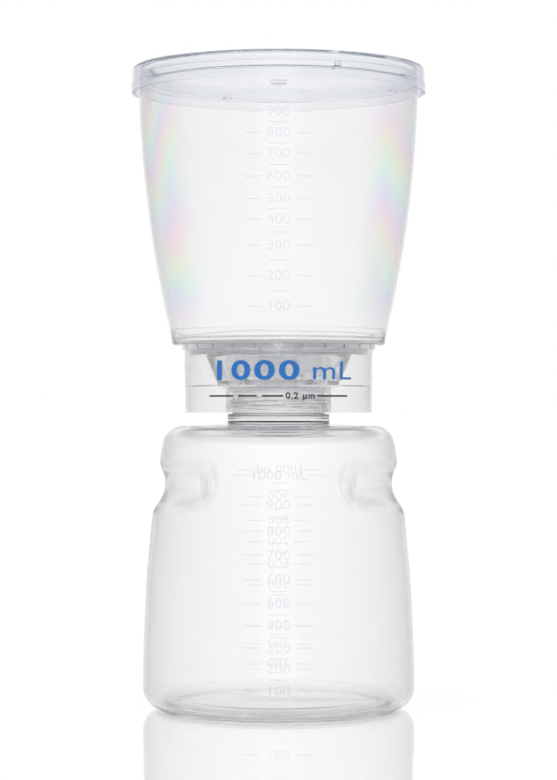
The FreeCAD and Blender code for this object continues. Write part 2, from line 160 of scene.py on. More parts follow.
def newMaterial(name):
    material = bpy.data.materials.new(name)
    material.use_nodes = True
    return material, Shader(material.node_tree)


arcStep, leastTurn = 0.14, 0.01  # radians: between points of a rounded corner, least turn to round
tiny = 1e-9


def cornerPath(*corners):
    # Points and unit directions along a path of (radius, height, round) corners. A rounded corner is
    # a circular arc tangent to both runs; a corner with no round lies on a smooth curve already.
    raw = np.array([(c[0], c[1]) for c in corners], float)
    rounds = [c[2] if len(c) > 2 else 0 for c in corners]
    points, ways = [], []
    count = len(raw)
    for i, here in enumerate(raw):
        before, after = raw[(i - 1) % count], raw[(i + 1) % count]
        inWay = (here - before) / max(np.hypot(*(here - before)), tiny)
        outWay = (after - here) / max(np.hypot(*(after - here)), tiny)
        turn = math.atan2(inWay[0] * outWay[1] - inWay[1] * outWay[0], float(inWay @ outWay))
        if rounds[i] and abs(turn) > leastTurn:
            back = rounds[i] * math.tan(abs(turn) / 2)
            start = here - inWay * back
            normal = np.array((-inWay[1], inWay[0])) * math.copysign(1, turn)
            centre = start + normal * rounds[i]
            share = np.linspace(0, 1, max(4, int(abs(turn) / arcStep) + 2))
            angle = share * turn
            cos, sin = np.cos(angle), np.sin(angle)
            arm = start - centre
            points.append(np.stack((centre[0] + arm[0] * cos - arm[1] * sin,
                                    centre[1] + arm[0] * sin + arm[1] * cos), 1))
            ways.append(np.stack((inWay[0] * cos - inWay[1] * sin, inWay[0] * sin + inWay[1] * cos), 1))
        else:
            way = inWay + outWay
            points.append(here[None])
            ways.append((way / max(np.hypot(*way), tiny))[None])
    return np.concatenate(points), np.concatenate(ways)


def gridFaces(rows, columns, closedRows):
    # quads between neighbours of a grid whose columns close on themselves
    i = np.arange(rows if closedRows else rows - 1)[:, None]
    j = np.arange(columns)[None]
    nextRow, nextColumn = (i + 1) % rows, (j + 1) % columns
    quads = np.stack(np.broadcast_arrays(i * columns + j, i * columns + nextColumn,
                                         nextRow * columns + nextColumn, nextRow * columns + j), -1)
    return quads.reshape(-1, 4)


def meshObject(name, points, faces, normals=None):
    mesh = bpy.data.meshes.new(name)
    mesh.from_pydata(points.tolist(), [], faces.tolist() if isinstance(faces, np.ndarray) else faces)
    mesh.update()
    mesh.shade_smooth()
    if normals is not None:
        mesh.normals_split_custom_set_from_vertices(normals.tolist())
    made = bpy.data.objects.new(name, mesh)
    bpy.context.scene.collection.objects.link(made)
    return made


def turned(name, path, columns, swell=None, poles=False):
    # Turns a path round the Z axis. A point at path step s and angle a is
    # ((r + d) cos a, (r + d) sin a, z), where d = swell(r, z, a, facing) lifts the surface off the
    # plain form, and its normal is the cross product of the two tangents. With poles the path starts
    # and ends on the axis, and each end is one vertex.
    points, ways = path
    if poles:
        ends = points[[0, -1]]
        points, ways = points[1:-1], ways[1:-1]
    angle = np.arange(columns) / columns * twoPi
    r, z = points[:, :1], points[:, 1:]
    a = angle[None]
    facing = np.sign(ways[:, 1:])  # 1 on a wall that faces out, -1 on one that faces the axis
    nudge = 1e-3  # half the step of the slopes below

    def lift(radius, height, turn):
        if swell:
            return swell(radius, height, turn, facing)
        return np.zeros(np.broadcast(radius, turn).shape)

    d = lift(r, z, a)
    perAngle = (lift(r, z, a + nudge) - lift(r, z, a - nudge)) / (2 * nudge)
    perHeight = (lift(r, z + nudge, a) - lift(r, z - nudge, a)) / (2 * nudge)
    perRadius = (lift(r + nudge, z, a) - lift(r - nudge, z, a)) / (2 * nudge)
    wayR, wayZ = ways[:, :1], ways[:, 1:]
    along = wayR * (1 + perRadius) + perHeight * wayZ
    radius = r + d
    cos, sin = np.cos(a), np.sin(a)
    grid = np.stack((radius * cos, radius * sin, np.broadcast_to(z, radius.shape)), -1)
    outR, outA, outZ = radius * wayZ, -perAngle * wayZ, -radius * along
    normals = np.stack((outR * cos - outA * sin, outR * sin + outA * cos, outZ), -1).reshape(-1, 3)
    normals /= np.maximum(np.linalg.norm(normals, axis=1, keepdims=True), tiny)
    verts = grid.reshape(-1, 3)
    faces = gridFaces(len(points), columns, not poles).tolist()
    if poles:
        first, last = len(verts), len(verts) + 1
        base = (len(points) - 1) * columns
        j = np.arange(columns)
        faces += np.stack((np.full(columns, first), (j + 1) % columns, j), 1).tolist()
        faces += np.stack((np.full(columns, last), base + j, base + (j + 1) % columns), 1).tolist()
        verts = np.concatenate((verts, [(0, 0, ends[0, 1]), (0, 0, ends[1, 1])]))
        normals = np.concatenate((normals, [(0, 0, -1), (0, 0, 1)]))
    return meshObject(name, verts * mm, faces, normals)


def arcRound(centre, size, angles):
    # points of a circle of a size round a (radius, height) centre, at the given angles
    return np.stack((centre[0] + size * np.cos(angles), centre[1] + size * np.sin(angles)), 1).tolist()


def arcPoints(start, end, bend, count):
    # Points between two ends on a circular arc of radius bend, on the right of the way when bend > 0.
    start, end = np.array(start, float), np.array(end, float)
    chord = end - start
    length = np.hypot(*chord)
    side = np.array((chord[1], -chord[0])) / length
    rise = math.sqrt(bend * bend - length * length / 4)
    centre = (start + end) / 2 + side * rise * math.copysign(1, bend)
    first = math.atan2(*(start - centre)[::-1])
    sweep = math.atan2(*(end - centre)[::-1]) - first
    sweep = (sweep + math.pi) % twoPi - math.pi
    return arcRound(centre, abs(bend), first + sweep * np.linspace(0, 1, count))


def join(name, parts):
    # one mesh from several (points, faces) pairs, in millimetres
    points, faces, first = [], [], 0
    for spots, corners in parts:
        points.append(np.asarray(spots, float))
        faces += [[v + first for v in face] for face in corners]
        first += len(spots)
    return meshObject(name, np.concatenate(points) * mm, faces)


def wrapped(spots, wall, middle):
    # Bends flat artwork round the Z axis: x runs along the wall from the angle middle, y is the
    # height and z is the distance off the wall, whose radius at each height is wall(height).
    radius = wall(spots[:, 1])
    angle = middle + spots[:, 0] / radius
    radius = radius + spots[:, 2]
    return np.stack((radius * np.cos(angle), radius * np.sin(angle), spots[:, 1]), 1)


def slab(x0, x1, y0, y1, low, high, cuts=10):
    # A flat bar: the rectangle y0..y1 by low..high carried along x from x0 to x1, in short steps so
    # that it can follow a wall.
    ring = np.array(((y0, low), (y1, low), (y1, high), (y0, high)))
    x = np.repeat(np.linspace(x0, x1, cuts + 1), 4)
    spots = np.column_stack((x, np.tile(ring, (cuts + 1, 1))))
    i = np.arange(cuts)[:, None] * 4
    j = np.arange(4)[None]
    sides = np.stack(np.broadcast_arrays(i + j, i + 4 + j, i + 4 + (j + 1) % 4, i + (j + 1) % 4), -1)
    return spots, sides.reshape(-1, 4).tolist() + [[0, 1, 2, 3], [cuts * 4 + k for k in (3, 2, 1, 0)]]


typeface = {"bodyPerFigure": 1.35, "curveSteps": 3}


def figures(text, height, thickness, middle, wide=1.0, weight=0.0, spread=1.0):
    # Generic numbers as a flat solid: the built-in typeface, scaled to a height, stretched sideways by
    # wide, thickened by weight, spaced by spread and centred on a point.
    curve = bpy.data.curves.new("figures", "FONT")
    curve.body, curve.align_x, curve.align_y = text, "CENTER", "CENTER"
    curve.space_character = spread
    curve.size = height * typeface["bodyPerFigure"]
    curve.extrude, curve.offset = thickness / 2, weight * height
    curve.resolution_u = typeface["curveSteps"]
    holder = bpy.data.objects.new("figures", curve)
    bpy.context.scene.collection.objects.link(holder)
    bpy.context.view_layer.update()
    mesh = bpy.data.meshes.new_from_object(holder.evaluated_get(bpy.context.evaluated_depsgraph_get()))
    spots = np.zeros(len(mesh.vertices) * 3)
    mesh.vertices.foreach_get("co", spots)
    spots = spots.reshape(-1, 3) * (wide, 1, 1) + middle
    faces = [list(p.vertices) for p in mesh.polygons]
    bpy.data.objects.remove(holder)
    bpy.data.curves.remove(curve)
    bpy.data.meshes.remove(mesh)
    return spots, faces


plasticIor = 1.59
plastics = {
    # tint: colour of one wall seen square on; edge: painted shade, the darker colour given to a wall seen
    # side on;
    # # rim: how far the painted shade reaches in from the silhouette, broadly and right at the rim;
    # loss: share lost per metre of plastic; waves: size and depth of the moulding waves;
    # haze: roughness of the dull patches; clear: share of the surface that is not milky
    "clearBottle": {
        "tint": (0.990, 0.991, 0.993), "edge": (0.66, 0.668, 0.69), "rim": (0.6, 0.8),
        "loss": (9.0, 8.7, 8.2), "waves": (16, 0.22), "haze": 0.012, "clear": 0.978},
    "clearFunnel": {
        "tint": (0.993, 0.994, 0.996), "edge": (0.66, 0.67, 0.70), "rim": (0.3, 0.9),
        "loss": (6.0, 5.6, 4.9), "waves": (9, 0.08), "haze": 0.008, "clear": 0.98},
    "clearLid": {
        "tint": (0.988, 0.991, 0.998), "edge": (0.64, 0.69, 0.80), "rim": (0.45, 0.6),
        "loss": (10, 8.6, 6.4), "waves": (9, 0.05), "haze": 0.008, "clear": 0.978},
    "clearBase": {
        "tint": (0.990, 0.991, 0.993), "edge": (0.70, 0.71, 0.73), "rim": (0.4, 0.8),
        "loss": (3.0, 2.7, 2.3), "waves": (14, 0.08), "haze": 0.012, "clear": 0.96},
    "clearPlate": {
        "tint": (0.97, 0.972, 0.975), "edge": (0.935, 0.94, 0.948), "rim": (1.0, 0.0),
        "loss": (3.0, 2.7, 2.3), "waves": (14, 0.08), "haze": 0.03, "clear": 0.86},
}
moulding = {
    "waveDetail": 1.5, "waveStretch": (1, 1, 0.55), "waveHeight": 0.0006,
    "smear": (60, 3.0, (1, 1, 0.4)), "smearFrom": 0.5, "smearFull": 0.75, "polish": 0.004, "rimPower": 6,
}


def clearPlastic(name, stress=None, paintedLight=None):
    # stress gives the colour of the wall seen square on; bright says where the painted edge shade is held
    # off, which paints those places lighter
    look, m = plastics[name], moulding
    material, shader = newMaterial(name)
    spot, x, y, z = shader.place()
    size, depth = look["waves"]
    waves = shader.noise(spot, size, m["waveDetail"], m["waveStretch"])
    bump = shader.bump(waves, depth, m["waveHeight"])
    smears = shader.noise(spot, *m["smear"])
    roughness = shader.step(smears, m["smearFrom"], m["smearFull"]) * look["haze"] + m["polish"]
    square = stress(shader, spot, x, y, z, look["tint"]) if stress else look["tint"]
    # painted shade: the base colour turns towards the painted shade colour as the wall turns side on,
    # darkening the silhouettes
    facing = shader.node("ShaderNodeLayerWeight", inputs={"Blend": 0.5}, output="Facing")
    broad, narrow = look["rim"]
    rim = facing * broad + facing ** m["rimPower"] * narrow
    # painted light: where the mask says, the painted edge shade is taken away
    if paintedLight:
        rim = rim * (1 - paintedLight(shader, x, y, z))
    strongest = max(look["loss"])
    volume = shader.node("ShaderNodeVolumeAbsorption", inputs={
        "Color": (*[1 - v / strongest for v in look["loss"]], 1), "Density": float(strongest)})
    shader.finish({
        "Base Color": shader.mixColour(rim, square, look["edge"]), "Roughness": roughness,
        "IOR": plasticIor, "Transmission Weight": look["clear"], "Normal": bump}, Volume=volume)
    return material


stressLook = {
    # where the bands fade in, as the share of the way round to the side and in metres of height
    "sideFrom": 0.62, "sideFull": 0.86, "fadeFoot": (0.165, 0.185), "fadeTop": (0.255, 0.285),
    "bend": (26, 1.0, (1, 1, 0.35)), "perHeight": 24.0, "perSide": 1.6, "perBend": 2.6,
    "shifts": (0.0, 2.1, 4.2), "strength": 0.11,
}


def stressBands(shader, spot, x, y, z, plain):
    # Pale colours of moulded-in stress, in slanting bands down the two sides of the funnel: each
    # channel loses a share that swings as the cosine of height, side and a slow noise.
    s = stressLook
    bend = shader.noise(spot, *s["bend"])
    radius = (x * x + y * y) ** 0.5
    side = abs(x) / radius
    mask = shader.step(side, s["sideFrom"], s["sideFull"])
    mask = mask * (1 - shader.step(z, *s["fadeTop"])) * shader.step(z, *s["fadeFoot"])
    phase = (z * s["perHeight"] + side * s["perSide"] + bend * s["perBend"]) * twoPi
    channels = []
    for shift, base in zip(s["shifts"], plain):
        swing = (phase + shift).math("COSINE") * 0.5 + 0.5
        channels.append(base - swing * mask * s["strength"])
    return shader.node("ShaderNodeCombineColor", inputs=dict(enumerate(channels)))


paintedLightSpots = {
    # metres: heights and radii between which the two places painted lighter, where the painted edge shade
    # is held off, fade in or out
    "beadFoot": (0.1215, 0.1235), "beadTop": (0.1303, 0.1312), "beadEdge": (0.0245, 0.029),
    "baseTop": (0.005, 0.008), "baseEdge": (0.0445, 0.049), "share": 0.95,
}


def bottleBright(shader, x, y, z):
    # the bead at the foot of the neck and the flat of the base are painted lighter: the painted edge shade
    # is held off there, a painted highlight
    s = paintedLightSpots
    radius = (x * x + y * y) ** 0.5
    bead = shader.step(z, *s["beadFoot"]) * (1 - shader.step(z, *s["beadTop"]))
    bead = bead * (1 - shader.step(radius, *s["beadEdge"]))
    base = (1 - shader.step(radius, *s["baseEdge"])) * (1 - shader.step(z, *s["baseTop"]))
    return bead * s["share"] + base * s["share"]


clearBottle = clearPlastic("clearBottle", paintedLight=bottleBright)
clearFunnel = clearPlastic("clearFunnel", stressBands)
clearLid = clearPlastic("clearLid")
clearBase = clearPlastic("clearBase")
clearPlate = clearPlastic("clearPlate")

bottle = {
    # rounds are the radii of rounded corners; rows are (to, count) or (from, to, step) of heights
    "radius": bottleRadius, "wall": 1.8, "columns": 272,
    "heel": 9.0, "heelCuts": 14, "footInner": 47.3, "footRound": 6.0, "sideBend": 675.0,
    "pushUp": 1.6, "pushUpRadius": 42.5, "pushUpRound": 9.0, "dome": 0.7,
    "domeForm": ((0.0, 1.0), (0.35, 0.86), (0.7, 0.46)),  # share of the push-up's radius, share of the dome
    "shoulder": 9.3, "shoulderTop": 125.0, "shoulderCuts": 12, "domeSlope": 4.0,
    "plainRows": (79, 16), "gripRows": (80.0, 115.6, 0.9), "lastRow": 0.4,
    # neckRoot: drop and round where the shoulder meets the neck
    "neckRadius": 20.6, "neckBore": 18.5, "neckTop": bottleTop - hair, "neckRound": 0.4,
    "neckRoot": (0.35, 0.5),
    "beadRadius": 22.7, "beadBore": 20.3, "beadFoot": 126.3, "beadLobe": 1.9, "beadRound": 0.5,
    "groove": 0.12, "grooveHalf": 0.15, "grooveRounds": (0.2, 0.15), "beadGap": 0.3,
    # boreTop, boreFoot: how far over and under the bead's top the bore widens;
    # boreRows: gap below the rim, gap above the bead, count
    "boreRound": 0.8, "boreTop": 0.4, "boreFoot": 0.9, "mouthRound": 1.4, "boreRows": (1, 1.2, 6),
    "gripCentre": 66.1, "gripFloor": 50.4, "gripBend": 12.5, "gripHeight": 99.6, "gripSpan": 95.0,
    "gripBlend": 1.8, "gripsOver": 60, "gripsOutside": 30,  # least height and radius that a grip cuts
    "threadPitch": 4.0, "threadTurns": 1.2, "threadLow": 134.0, "threadDepth": 1.3, "threadHalf": 0.95,
    "threadFlank": 0.5, "threadFade": 0.25, "threadRows": (130.6, 139.7, 0.32),
    "threadBand": (20, 21, 130.2, 140.2),  # radii and heights between which the thread stands
}


def bottleSide(height, inwards=0.0):
    # The side leans in on one long arc that starts upright at the top of the heel: its radius is
    # plain radius - bend + sqrt(bend^2 - rise^2), with the bend shortened by a way inwards.
    b = bottle
    rise = height - b["heel"]
    return b["radius"] - b["sideBend"] + np.sqrt((b["sideBend"] - inwards) ** 2 - rise ** 2)


def softLeast(first, second, blend):
    # the lesser of two values, rounded over where they are within blend of each other
    near = np.maximum(blend - np.abs(first - second), 0) / blend
    return np.minimum(first, second) - near * near * blend / 4


def bottleSwell(radius, height, angle, facing):
    # Two scooped grips and the neck's thread. A grip is a parabola, floor + away^2 / (2 bend), where
    # away is the way off the grip's height, and also sideways past the ends of its span. The thread
    # is a ridge with sloping flanks that rises by one pitch a turn.
    b = bottle
    floor = b["gripFloor"] - np.where(facing > 0, 0, b["wall"])
    fromSide = np.abs((angle + math.pi / 2) % math.pi - math.pi / 2)  # angle from the nearest of +X, -X
    past = np.maximum(fromSide - math.radians(b["gripSpan"] / 2), 0)
    away = (height - b["gripHeight"]) ** 2 + (b["gripCentre"] * np.sin(past)) ** 2
    scoop = floor + b["gripCentre"] * (np.cos(past) - 1) + away / (2 * b["gripBend"])
    onSide = (height > b["gripsOver"]) & (height < b["shoulderTop"]) & (radius > b["gripsOutside"])
    grip = np.where(onSide, softLeast(radius + 0 * angle, scoop, b["gripBlend"]) - radius, 0)
    turn = (height - b["threadLow"]) / b["threadPitch"] * twoPi
    lap = np.round((turn - angle) / twoPi)
    along = angle + lap * twoPi  # thread angle nearest to this height
    off = np.abs(turn - along) / twoPi * b["threadPitch"]
    ridge = np.clip((b["threadHalf"] - off) / b["threadFlank"], 0, 1)
    left = b["threadTurns"] * twoPi - along
    ends = np.clip(along / b["threadFade"] + 1, 0, 1) * np.clip(left / b["threadFade"] + 1, 0, 1)
    inner, outer, low, high = b["threadBand"]
    onNeck = (radius > inner) & (radius < outer) & (height > low) & (height < high) & (facing > 0)
    return grip + np.where(onNeck, ridge * ends * b["threadDepth"], 0)


def bottlePath():
    # The section's outline: out along the base, up the side and the shoulder, over the bead and the
    # neck's rim, down the bore, and back along the same forms set in by the wall.
    b = bottle
    slope = math.radians(b["domeSlope"])

    def form(inwards, foot, mouth):
        heel = b["heel"] - inwards
        centre = b["radius"] - b["heel"]
        sideCentre = b["radius"] - b["sideBend"]
        span = b["sideBend"] - b["shoulder"]
        level = b["shoulderTop"] - b["shoulder"]
        reach = math.sqrt(span ** 2 - (level - b["heel"]) ** 2)
        shoulder = b["shoulder"] - inwards
        heelArc = np.radians(np.linspace(-90, 0, b["heelCuts"]))
        base = [(b["pushUpRadius"] * out, foot + b["pushUp"] + b["dome"] * up) for out, up in b["domeForm"]]
        base.append((b["pushUpRadius"], foot + b["pushUp"], b["pushUpRound"]))
        if not inwards:  # inside, one gentle slope runs from the push-up to the heel
            base.append((b["footInner"], foot, b["footRound"]))
        base += arcRound((centre, b["heel"]), heel, heelArc)
        tangent = math.atan2(level - b["heel"], reach)
        plainTop, plainCount = b["plainRows"]
        rows = np.concatenate((np.linspace(b["heel"], plainTop, plainCount)[1:], np.arange(*b["gripRows"])))
        top = level + shoulder * math.sin(tangent)
        rows = rows[rows < top - b["lastRow"]]
        side = np.stack((bottleSide(rows, inwards), rows), 1).tolist()
        roundArc = np.linspace(tangent, math.pi / 2 - slope, b["shoulderCuts"])
        crown = arcRound((sideCentre + reach, level), shoulder, roundArc)
        last = crown[-1]
        rise = (last[0] - mouth) * math.tan(slope)
        return base + side + crown, last[1] + rise

    outer, outerNeck = form(0, 0, b["neckRadius"])
    inner, innerNeck = form(b["wall"], b["wall"], b["beadBore"])
    neckWall, bore = b["neckRadius"], b["neckBore"]
    lobe, bead, foot = b["beadLobe"], b["beadRadius"], b["beadFoot"]
    beadTop = foot + lobe * 2
    drop, rootRound = b["neckRoot"]
    soft, (lipRound, grooveRound), neckRound = b["beadRound"], b["grooveRounds"], b["neckRound"]
    neck = [(neckWall, outerNeck - drop, rootRound), (neckWall + b["beadGap"], foot, soft),
            (bead, foot, soft), (bead, foot + lobe * (1 - b["grooveHalf"]), lipRound),
            (bead - b["groove"], foot + lobe, grooveRound),
            (bead, foot + lobe * (1 + b["grooveHalf"]), lipRound), (bead, beadTop, soft),
            (neckWall, beadTop, neckRound)]
    neck += [(neckWall, h) for h in np.arange(*b["threadRows"])]
    neck += [(neckWall, b["neckTop"], neckRound), (bore, b["neckTop"], neckRound)]
    under, over, count = b["boreRows"]
    neck += [(bore, h) for h in np.linspace(b["neckTop"] - under, beadTop + over, count)]
    neck += [(bore, beadTop + b["boreTop"], b["boreRound"]),
             (b["beadBore"], beadTop - b["boreFoot"], b["boreRound"]),
             (b["beadBore"], innerNeck, b["mouthRound"])]
    return cornerPath(*outer, *neck, *inner[::-1])


bottleMesh = turned("bottle", bottlePath(), bottle["columns"], bottleSwell, poles=True)
bottleMesh.data.materials.append(clearBottle)
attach(bottleMesh, "bottle")
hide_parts("receiver_bottle")
print("bottle made:", len(bottleMesh.data.vertices), "vertices")

funnel = {
    "foot": funnelFoot + 2 * hair, "footRadius": 47.2, "socket": 45.6, "ring": 48.1, "ringTop": 167.4,
    "step": 0.3, "wall": 1.7, "rim": funnelRadius, "collarFoot": 268.4, "top": funnelTop, "bend": 520.0,
    "clamp": 43.6, "clampFoot": membraneTop + 0.04, "ledge": 1.2, "lean": 0.3, "columns": 224, "rows": 36,
    "sharp": 0.15, "footRound": 1.2, "stepRound": 0.12, "rimRound": 0.5, "floorRound": 1.0,
    "ledgeRound": 0.7, "clampRound": 0.4,
}


def funnelArc(inwards):
    # the side is one long arc from the ring up to the collar, set in by a given wall
    f = funnel
    low = (f["ring"] + f["step"] - inwards, f["ringTop"])
    high = (f["rim"] - inwards, f["collarFoot"])
    return arcPoints(low, high, -(f["bend"] - inwards), f["rows"])


def funnelSide(height):
    # the outer radius at a height, read off the arc
    radius, level = np.array(funnelArc(0)).T
    return np.interp(height, level, radius)


def funnelPath():
    # The section's outline: the socket, out and up the ring, the outer arc, the rim, the inner arc,
    # and the ledge that clamps the membrane.
    f = funnel
    outer = funnelArc(0)[1:]
    inner = funnelArc(f["wall"])[::-1][:-1]
    stepRadius = f["ring"] + f["step"]
    innerFoot = stepRadius - f["wall"]
    ledgeTop = f["clampFoot"] + f["ledge"]
    return cornerPath(
        (f["socket"], f["foot"], f["sharp"]), (f["footRadius"], f["foot"], f["footRound"]),
        (f["ring"], f["ringTop"], f["stepRound"]), (stepRadius, f["ringTop"], f["stepRound"]),
        *outer, (f["rim"], f["top"], f["rimRound"]), (f["rim"] - f["wall"], f["top"], f["rimRound"]),
        *inner, (innerFoot, f["ringTop"], f["floorRound"]),
        (innerFoot - f["lean"], ledgeTop, f["ledgeRound"]), (f["clamp"], ledgeTop, f["clampRound"]),
        (f["clamp"], f["clampFoot"], f["sharp"]), (f["socket"], f["clampFoot"], f["sharp"]))


funnelMesh = turned("funnelShell", funnelPath(), funnel["columns"])
funnelMesh.data.materials.append(clearFunnel)
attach(funnelMesh, "upper_unit")
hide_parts("funnel")

weld = {
    "radius": 45.55, "height": 165.2, "thick": 0.28, "around": 180, "across": 8,
    "inset": 0.32, "lean": 0.62,
    "wander": ((0.55, 1, 2.4), (0.35, 3, 0.7), (0.16, 7, 1.9)),  # millimetres, waves a turn, phase
}


def weldBead():
    # A thin bead that wanders up and down on the funnel's inner wall: a small circle swept round the
    # Z axis, its height the sum of three slow sine waves of the angle.
    w = weld
    a = np.arange(w["around"]) / w["around"] * twoPi
    b = np.arange(w["across"]) / w["across"] * twoPi
    rise = sum(size * np.sin(waves * a + phase) for size, waves, phase in w["wander"])
    radius = w["radius"] - w["inset"] + w["lean"] * rise[:, None] + w["thick"] * np.cos(b)[None]
    height = w["height"] + rise[:, None] + w["thick"] * np.sin(b)[None]
    spots = np.stack((radius * np.cos(a)[:, None], radius * np.sin(a)[:, None], height), -1)
    faces = gridFaces(w["around"], w["across"], True)[:, [0, 3, 2, 1]]  # turned to face outwards
    return meshObject("weldBead", spots.reshape(-1, 3) * mm, faces)


beadMesh = weldBead()
beadMesh.data.materials.append(clearBase)
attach(beadMesh, "upper_unit")
print("funnel made")

# The web of the filter base levels out and thins towards the skirt; all the rest is the CAD form.
web = {
    "tube": 23.5, "foot": 26.7, "skirt": 40.15, "thinUnder": 142.1, "thinOver": 142.8, "fade": 4.0,
    # height at the inner edge and rise per millimetre outwards of the solid's two faces
    "under": (141.4, 0.0741), "over": (142.8, 0.0896),
    # how near a point lies to a face to belong to it, how far it stays off the tube and the foot
    "slack": 0.12, "offTube": 0.5, "offFoot": 0.05, "levelNormal": 0.9,
}


def cadCopy(name, node):
    # a copy of a CAD node's mesh, and its points
    made = bpy.data.objects.new(name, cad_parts[node].data.copy())
    bpy.context.scene.collection.objects.link(made)
    made.data.materials.clear()
    spots = np.zeros(len(made.data.vertices) * 3, np.float32)
    made.data.vertices.foreach_get("co", spots)
    return made, spots.reshape(-1, 3)


def levelWeb(mesh, spots):
    # Moves the web's two faces: height = thin height, reached over a short fade next to the tube.
    w = web
    radius = np.hypot(spots[:, 0], spots[:, 1]) / mm
    height = spots[:, 2] / mm
    under = w["under"][0] + (radius - w["tube"]) * w["under"][1]
    over = w["over"][0] + (radius - w["foot"]) * w["over"][1]
    inside = (radius > w["tube"] + w["offTube"]) & (radius < w["skirt"])
    isUnder = inside & (np.abs(height - under) < w["slack"])
    isOver = inside & (radius > w["foot"] + w["offFoot"]) & (np.abs(height - over) < w["slack"])
    share = np.clip((radius - w["tube"]) / w["fade"], 0, 1)
    height = np.where(isUnder, w["under"][0] + share * (w["thinUnder"] - w["under"][0]), height)
    height = np.where(isOver, w["thinOver"], height)
    spots[:, 2] = height * mm
    corners = np.zeros(len(mesh.loops) * 3, np.float32)
    mesh.corner_normals.foreach_get("vector", corners)
    corners = corners.reshape(-1, 3)
    vertex = np.zeros(len(mesh.loops), np.int32)
    mesh.loops.foreach_get("vertex_index", vertex)
    flat = (isUnder | isOver)[vertex] & (np.abs(corners[:, 2]) > w["levelNormal"])
    corners[flat] = np.column_stack((np.zeros((flat.sum(), 2)), np.sign(corners[flat, 2])))
    mesh.vertices.foreach_set("co", spots.ravel())
    mesh.update()
    mesh.normals_split_custom_set(corners.tolist())


adapterMesh, adapterSpots = cadCopy("filterBase", "neck_adapter")
levelWeb(adapterMesh.data, adapterSpots)
adapterMesh.data.materials.append(clearBase)
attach(adapterMesh, "upper_unit")
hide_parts("neck_adapter")

# the support plate is the CAD form, lifted a hair so that clear faces don't coincide
plateMesh, plateSpots = cadCopy("supportPlate", "support_plate")
plateSpots[:, 2] += hair * mm
plateMesh.data.vertices.foreach_set("co", plateSpots.ravel())
plateMesh.data.materials.append(clearPlate)
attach(plateMesh, "upper_unit")
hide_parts("support_plate")
print("filter base made")

scaleLook = {
    "relief": 0.2, "stroke": 0.42, "gap": 0.02, "wide": 1.2, "grain": 400, "roughness": (0.12, 0.06),
    "bottleTint": (0.89, 0.90, 0.93), "funnelTint": (0.90, 0.91, 0.94),
}
bottleScale = {  # levels: height of each volume's line; the rest: height of a figure, ends of the lines
    "levels": {1000: 104.2, 900: 91.5, 800: 80.6, 700: 70.5, 600: 60.1, 500: 50.3, 400: 40.7, 300: 31.4,
               200: 22.6, 100: 13.3},
    "figure": 4.3, "long": (12.5, 20.0), "line": (7.5, 15.0), "half": 4.0,
}
funnelScale = {
    "levels": {1000: 266.6, 900: 258.1, 800: 249.1, 700: 240.3, 600: 230.9, 500: 221.4, 400: 212.8,
               300: 201.9, 200: 189.1, 100: 176.1},
    "figure": 4.2, "long": (9.5, 15.5), "line": (7.2, 14.0), "half": 4.2,
}


def reliefMaterial(name, tint):
    # clear raised marks with a worn, slightly dull face
    material, shader = newMaterial(name)
    spot = shader.place()[0]
    worn = shader.noise(spot, scaleLook["grain"])
    swing, least = scaleLook["roughness"]
    shader.finish({"Base Color": (*tint, 1), "Roughness": worn * swing + least, "IOR": plasticIor,
                   "Transmission Weight": 1.0})
    return material


def scaleParts(scale, wall, middle):
    # figures with a line on each side, and a short mark halfway to the next figure
    low, high = scaleLook["gap"], scaleLook["gap"] + scaleLook["relief"]
    stroke = scaleLook["stroke"] / 2
    parts = []
    levels = sorted(scale["levels"].items())
    for (volume, level), (_, above) in zip(levels, levels[1:] + [(0, None)]):
        text = "1000 mL" if volume == 1000 else str(volume)
        centre = (0, level, (low + high) / 2)
        spots, faces = figures(text, scale["figure"], high - low, centre, scaleLook["wide"])
        parts.append((wrapped(spots, wall, middle), faces))
        inner, outer = scale["long" if volume == 1000 else "line"]
        marks = [(inner, outer, level), (-outer, -inner, level)]
        if above:
            marks.append((-scale["half"], scale["half"], (level + above) / 2))
        for start, end, height in marks:
            spots, faces = slab(start, end, height - stroke, height + stroke, low, high)
            parts.append((wrapped(spots, wall, middle), faces))
    return parts


front, back = -math.pi / 2, math.pi / 2
bottleMarks = join("bottleScale", scaleParts(bottleScale, bottleSide, front)
                   + scaleParts(bottleScale, bottleSide, back))
bottleMarks.data.materials.append(reliefMaterial("reliefBottle", scaleLook["bottleTint"]))
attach(bottleMarks, "bottle")
funnelMarks = join("funnelScale", scaleParts(funnelScale, funnelSide, front))
funnelMarks.data.materials.append(reliefMaterial("reliefFunnel", scaleLook["funnelTint"]))
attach(funnelMarks, "upper_unit")
for marks in (bottleMarks, funnelMarks):
    marks.data.shade_flat()
print("scales made")

label = {
    # draft: how much narrower the skirt is at its foot; off: the print's two distances off the skirt
    "draft": 0.4, "off": (0.03, 0.08),
    "bold": {"text": "1000", "height": 8.6, "middle": (-11.4, 148.6), "wide": 1.6, "weight": 0.035,
             "spread": 1.15},
    "light": {"text": "mL", "height": 8.6, "middle": (25.0, 148.6), "wide": 1.45, "weight": 0.0,
              "spread": 1.05},
    "small": {"text": "0.2 µm", "height": 2.9, "middle": (9.6, 137.95), "wide": 1.1, "weight": 0.03,
              "spread": 1.1},
    "bars": ((-33.4, -20.4), (-18.0, -9.4), (-7.2, 2.0), (17.2, 33.2)), "barFoot": 137.6,
    "barTall": 0.75,
}
inkLook = {"big": (0.007, 0.185, 0.60), "small": (0.022, 0.022, 0.028), "grain": 1800,
           "patches": (0.35, 0.7), "dark": 0.9, "roughness": (0.2, 0.3), "cover": 0.96}


def skirtWall(height):
    # the skirt's outer radius grows evenly with height
    return skirtRadius - label["draft"] * (skirtTop - height) / (skirtTop - skirtFoot)


